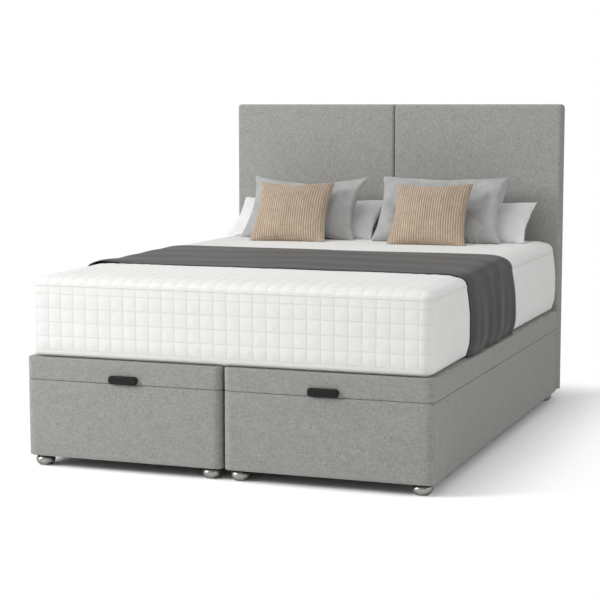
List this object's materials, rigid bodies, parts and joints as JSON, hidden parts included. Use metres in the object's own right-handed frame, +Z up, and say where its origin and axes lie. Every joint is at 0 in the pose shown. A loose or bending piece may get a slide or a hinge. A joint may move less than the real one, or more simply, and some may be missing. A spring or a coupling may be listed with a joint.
{
  "type": "ottoman bed",
  "caption": "Upholstered storage bed with a lift-up top on coupled arms and gas struts, a tall panelled headboard, a deep mattress, a runner, pillows and cushions.",
  "frame": {"origin": "middle of the bed's overall width and depth, on the floor", "axes": "+X to the right seen from the foot end, +Y from the foot end to the headboard, +Z up"},
  "size_m": [1.5132, 2.084, 1.283],
  "materials": {
    "timber": "matte",
    "bed_fabric": "matte",
    "foot_metal": "satin",
    "zinc_steel": "satin",
    "handle_plastic": "matte",
    "linkage_steel": "satin",
    "strut_paint": "satin",
    "rod_chrome": "polished",
    "mattress_fabric": "matte",
    "piping_fabric": "matte",
    "runner_fabric": "satin",
    "pillow_cotton": "matte",
    "grey_fabric": "matte",
    "tan_fabric": "matte"
  },
  "bodies": {
    "base": {"left_foot_panel": "timber", "right_foot_panel": "timber", "left_head_panel": "timber", "right_head_panel": "timber", "left_inner_side_panel": "timber", "right_inner_side_panel": "timber", "left_outer_side_panel": "timber", "right_outer_side_panel": "timber", "left_corner_posts": "timber", "right_corner_posts": "timber", "left_floor_board": "timber", "right_floor_board": "timber", "left_base_cover": "bed_fabric", "right_base_cover": "bed_fabric", "left_feet": "foot_metal", "right_feet": "foot_metal", "linking_bars": "zinc_steel", "headboard_board": "timber", "left_headboard_pad": "bed_fabric", "right_headboard_pad": "bed_fabric", "headboard_bolts": "zinc_steel", "left_base_hinge_plates": "linkage_steel", "right_base_hinge_plates": "linkage_steel", "left_base_pivot_pins": "zinc_steel", "right_base_pivot_pins": "zinc_steel"},
    "rear_arms": {"left_rear_lift_arms": "linkage_steel", "right_rear_lift_arms": "linkage_steel"},
    "lids": {"left_lid_frame": "timber", "right_lid_frame": "timber", "left_lid_board": "timber", "right_lid_board": "timber", "left_lid_cover": "bed_fabric", "right_lid_cover": "bed_fabric", "lid_link_bolts": "zinc_steel", "left_pull_handle": "handle_plastic", "right_pull_handle": "handle_plastic", "left_lid_hinge_plates": "linkage_steel", "right_lid_hinge_plates": "linkage_steel", "left_lid_pivot_pins": "zinc_steel", "right_lid_pivot_pins": "zinc_steel", "mattress": "mattress_fabric", "mattress_piping": "piping_fabric", "bed_runner": "runner_fabric", "left_pillow": "pillow_cotton", "right_pillow": "pillow_cotton", "left_grey_cushion": "grey_fabric", "right_grey_cushion": "grey_fabric", "left_tan_cushion": "tan_fabric", "right_tan_cushion": "tan_fabric"},
    "front_arms": {"left_front_lift_arms": "linkage_steel", "right_front_lift_arms": "linkage_steel"},
    "strut_tubes": {"left_strut_tubes": "strut_paint", "right_strut_tubes": "strut_paint"},
    "strut_rods": {"left_strut_rods": "rod_chrome", "right_strut_rods": "rod_chrome"}
  },
  "joints": [
    {"name": "lift_arm_swing", "type": "hinge", "parent": "base", "child": "rear_arms", "pos_m": [0, 0.501, 0.11], "axis": [1, 0, 0], "range_deg": [0, 46.1]},
    {"name": "lid_tilt", "type": "hinge", "parent": "rear_arms", "child": "lids", "pos_m": [0, 0.797, 0.348], "axis": [-1, 0, 0], "range_deg": [0, 74]},
    {"name": "front_arm_swing", "type": "hinge", "parent": "base", "child": "front_arms", "pos_m": [0, 0.377, 0.095], "axis": [1, 0, 0], "range_deg": [0, 42.9]},
    {"name": "strut_swing", "type": "hinge", "parent": "base", "child": "strut_tubes", "pos_m": [0, 0.772, 0.068], "axis": [1, 0, 0], "range_deg": [0, 43.75]},
    {"name": "strut_slide", "type": "slide", "parent": "strut_tubes", "child": "strut_rods", "axis": [0, 0.3824, 0.924], "range_m": [0, 0.099]}
  ],
  "couplings": [
    {"joint": "lift_arm_swing", "follows": "lid_tilt", "ratio": 0.62163},
    {"joint": "front_arm_swing", "follows": "lid_tilt", "ratio": 0.57874},
    {"joint": "strut_swing", "follows": "lid_tilt", "ratio": 0.5901},
    {"joint": "strut_slide", "follows": "lid_tilt", "m_per_rad": 0.076546}
  ]
}
